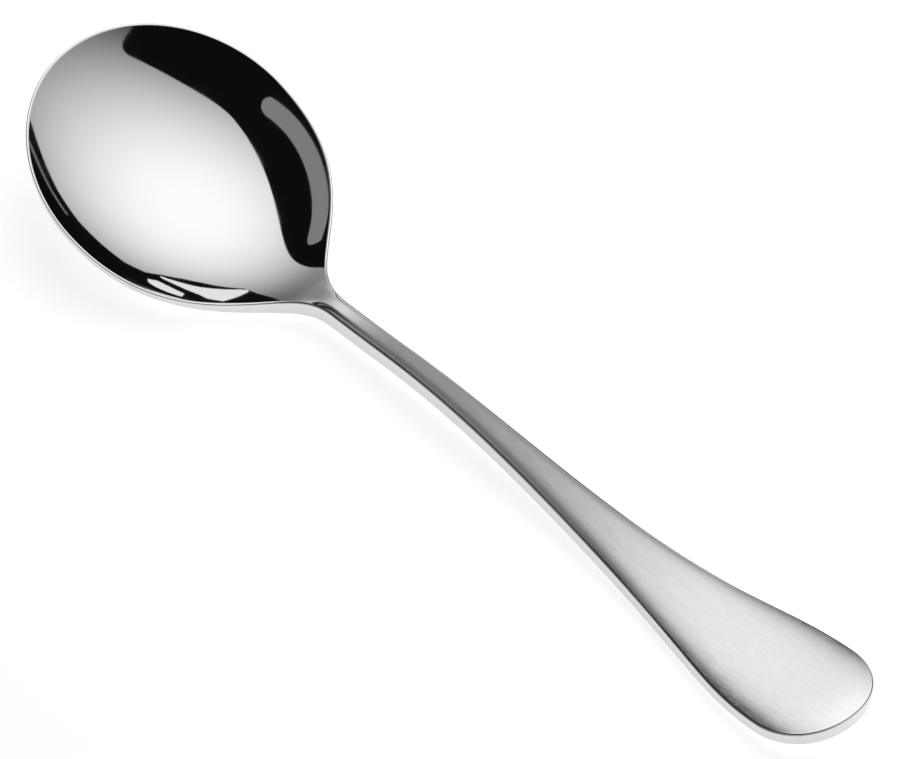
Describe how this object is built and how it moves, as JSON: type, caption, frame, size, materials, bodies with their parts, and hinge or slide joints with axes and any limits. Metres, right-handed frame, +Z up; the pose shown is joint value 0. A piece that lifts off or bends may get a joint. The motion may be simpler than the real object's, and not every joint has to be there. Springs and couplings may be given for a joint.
{
  "type": "soup spoon",
  "caption": "Soup spoon with a round-oval mirror-polished bowl, a narrow neck and a satin handle that widens to a pear-shaped grip turned up at its end.",
  "frame": {"origin": "on the table under the middle of the spoon's overall box", "axes": "+X from the tip of the bowl to the end of the handle, +Z up from the table, Y across the spoon"},
  "size_m": [0.178, 0.047, 0.0178],
  "materials": {
    "polished_steel": "mirror-polished stainless steel",
    "satin_steel": "satin stainless steel, finely brushed"
  },
  "bodies": {
    "root": {"bowl": "polished_steel", "handle": "satin_steel"}
  },
  "joints": []
}
